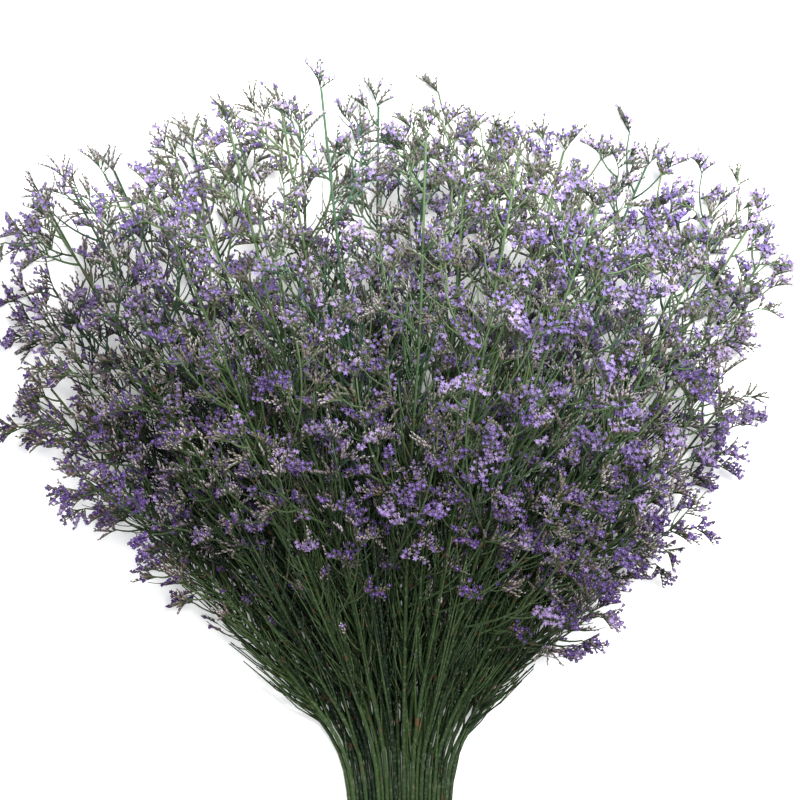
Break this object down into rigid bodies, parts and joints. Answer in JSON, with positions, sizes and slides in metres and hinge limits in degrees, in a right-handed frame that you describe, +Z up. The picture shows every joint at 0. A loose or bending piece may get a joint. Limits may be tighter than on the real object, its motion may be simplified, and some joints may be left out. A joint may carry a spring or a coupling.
{
  "type": "dried statice",
  "caption": "A cut bunch of dried statice lying down: branching green stems gathered at a waist, fanning out to one-sided spikes of small violet florets",
  "frame": {"origin": "the middle of the bunch's length and width, on the surface it lies on", "axes": "+Y along the bunch from its cut ends to its flowers, +X across it, +Z up from the surface"},
  "size_m": [0.624, 0.6796, 0.1934],
  "materials": {
    "dried_spray": "matte"
  },
  "bodies": {
    "root": {"stem_01": "dried_spray", "stem_02": "dried_spray", "stem_03": "dried_spray", "stem_04": "dried_spray", "stem_05": "dried_spray", "stem_06": "dried_spray", "stem_07": "dried_spray", "stem_08": "dried_spray", "stem_09": "dried_spray", "stem_10": "dried_spray", "stem_11": "dried_spray", "stem_12": "dried_spray", "stem_13": "dried_spray", "stem_14": "dried_spray", "stem_15": "dried_spray", "stem_16": "dried_spray", "stem_17": "dried_spray", "stem_18": "dried_spray", "stem_19": "dried_spray", "stem_20": "dried_spray", "stem_21": "dried_spray", "stem_22": "dried_spray", "stem_23": "dried_spray", "stem_24": "dried_spray", "stem_25": "dried_spray", "stem_26": "dried_spray", "stem_27": "dried_spray", "stem_28": "dried_spray", "stem_29": "dried_spray", "stem_30": "dried_spray", "stem_31": "dried_spray", "stem_32": "dried_spray", "stem_33": "dried_spray", "stem_34": "dried_spray", "stem_35": "dried_spray", "stem_36": "dried_spray", "stem_37": "dried_spray", "stem_38": "dried_spray", "stem_39": "dried_spray", "stem_40": "dried_spray"}
  },
  "joints": []
}
